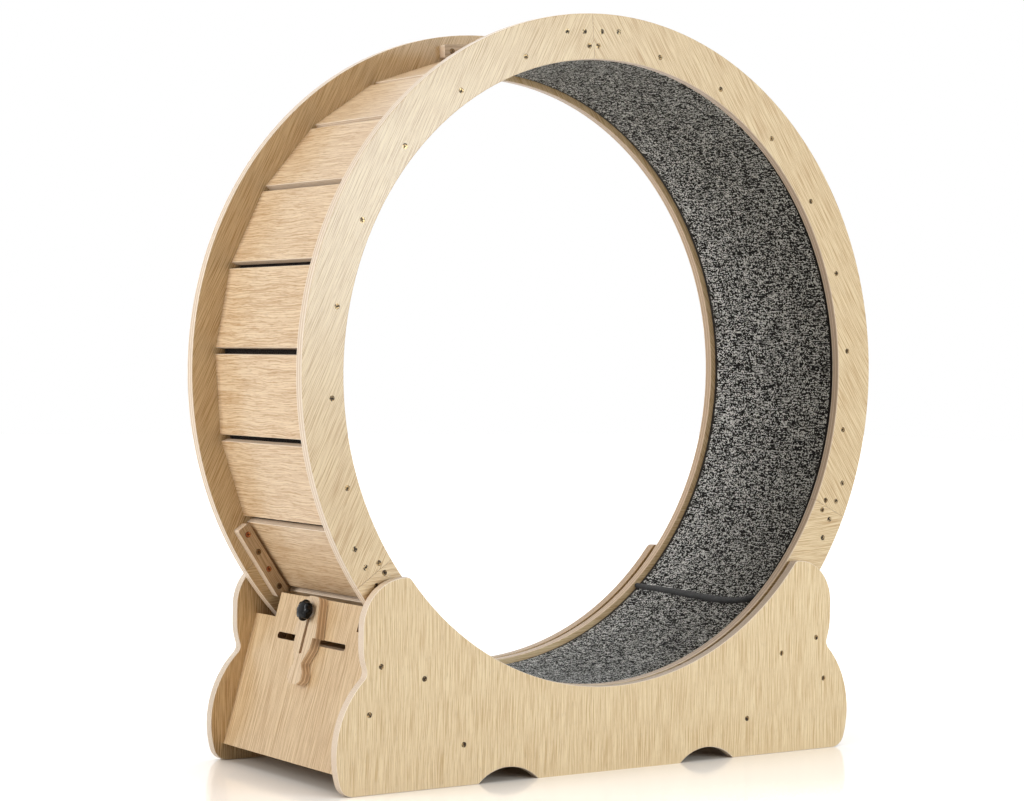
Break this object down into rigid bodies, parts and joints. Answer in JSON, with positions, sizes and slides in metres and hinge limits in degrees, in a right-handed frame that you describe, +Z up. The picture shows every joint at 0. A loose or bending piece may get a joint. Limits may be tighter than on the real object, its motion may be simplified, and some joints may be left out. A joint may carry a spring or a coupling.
{
  "type": "cat exercise wheel",
  "caption": "Plywood running wheel for a cat: a slatted drum with a carpet runner, on rollers in a shaped base, with a sliding lock.",
  "frame": {"origin": "on the floor, below the middle of the drum", "axes": "+Z up, +Y to the back along the drum's axle, +X to the right as seen from the front"},
  "size_m": [1.1, 0.384, 1.16],
  "materials": {
    "ring_plywood": "satin",
    "slat_plywood": "satin",
    "panel_plywood": "satin",
    "grey_carpet": "matte",
    "yellow_zinc": "satin",
    "zinc_steel": "satin",
    "roller_nylon": "matte",
    "black_plastic": "gloss"
  },
  "bodies": {
    "base": {"front_side_panel": "panel_plywood", "rear_side_panel": "panel_plywood", "left_end_panel": "panel_plywood", "right_end_panel": "panel_plywood", "left_inner_board": "panel_plywood", "right_inner_board": "panel_plywood", "panel_screws": "yellow_zinc", "roller_shafts": "zinc_steel", "bearing_inner_races": "zinc_steel", "short_spacers": "zinc_steel", "long_spacers": "zinc_steel", "lock_tee_nut": "zinc_steel"},
    "drum": {"front_ring_segment_1": "ring_plywood", "front_ring_segment_2": "ring_plywood", "front_ring_segment_3": "ring_plywood", "rear_ring_segment_1": "ring_plywood", "rear_ring_segment_2": "ring_plywood", "rear_ring_segment_3": "ring_plywood", "front_splice_plate_1": "ring_plywood", "front_splice_plate_2": "ring_plywood", "front_splice_plate_3": "ring_plywood", "rear_splice_plate_1": "ring_plywood", "rear_splice_plate_2": "ring_plywood", "rear_splice_plate_3": "ring_plywood", "slat_01": "slat_plywood", "slat_02": "slat_plywood", "slat_03": "slat_plywood", "slat_04": "slat_plywood", "slat_05": "slat_plywood", "slat_06": "slat_plywood", "slat_07": "slat_plywood", "slat_08": "slat_plywood", "slat_09": "slat_plywood", "slat_10": "slat_plywood", "slat_11": "slat_plywood", "slat_12": "slat_plywood", "slat_13": "slat_plywood", "slat_14": "slat_plywood", "slat_15": "slat_plywood", "slat_16": "slat_plywood", "slat_17": "slat_plywood", "slat_18": "slat_plywood", "slat_19": "slat_plywood", "slat_20": "slat_plywood", "slat_21": "slat_plywood", "slat_22": "slat_plywood", "slat_23": "slat_plywood", "slat_24": "slat_plywood", "carpet_runner": "grey_carpet", "slat_screws": "yellow_zinc", "splice_screws": "yellow_zinc", "splice_sleeve_nuts": "yellow_zinc"},
    "front_left_roller": {"front_left_roller": "roller_nylon"},
    "front_right_roller": {"front_right_roller": "roller_nylon"},
    "rear_left_roller": {"rear_left_roller": "roller_nylon"},
    "rear_right_roller": {"rear_right_roller": "roller_nylon"},
    "slider": {"lock_slider": "panel_plywood"},
    "clamp": {"lock_washer": "zinc_steel"},
    "knob": {"lock_knob": "black_plastic", "lock_stud": "zinc_steel"}
  },
  "joints": [
    {"name": "drum_spin", "type": "hinge", "parent": "base", "child": "drum", "pos_m": [0, 0, 0.61], "axis": [0, 1, 0], "continuous": true},
    {"name": "front_left_roller_spin", "type": "hinge", "parent": "base", "child": "front_left_roller", "pos_m": [-0.27579, -0.1625, 0.11654], "axis": [0, 1, 0], "continuous": true},
    {"name": "front_right_roller_spin", "type": "hinge", "parent": "base", "child": "front_right_roller", "pos_m": [0.27579, -0.1625, 0.11654], "axis": [0, 1, 0], "continuous": true},
    {"name": "rear_left_roller_spin", "type": "hinge", "parent": "base", "child": "rear_left_roller", "pos_m": [-0.27579, 0.1625, 0.11654], "axis": [0, 1, 0], "continuous": true},
    {"name": "rear_right_roller_spin", "type": "hinge", "parent": "base", "child": "rear_right_roller", "pos_m": [0.27579, 0.1625, 0.11654], "axis": [0, 1, 0], "continuous": true},
    {"name": "lock_slide", "type": "slide", "parent": "base", "child": "slider", "axis": [0.2622, 0, 0.965], "range_m": [0, 0.0285]},
    {"name": "lock_clamp", "type": "slide", "parent": "base", "child": "clamp", "axis": [-0.965, 0, 0.2622], "range_m": [0, 0.002]},
    {"name": "knob_turn", "type": "hinge", "parent": "clamp", "child": "knob", "pos_m": [-0.43016, -0.003, 0.24544], "axis": [-0.965, 0, 0.2622], "range_deg": [0, 720]}
  ],
  "couplings": [
    {"joint": "front_left_roller_spin", "follows": "drum_spin", "ratio": -36.667},
    {"joint": "front_right_roller_spin", "follows": "drum_spin", "ratio": -36.667},
    {"joint": "rear_left_roller_spin", "follows": "drum_spin", "ratio": -36.667},
    {"joint": "rear_right_roller_spin", "follows": "drum_spin", "ratio": -36.667},
    {"joint": "knob_turn", "follows": "lock_clamp", "rad_per_m": 6283.2}
  ]
}
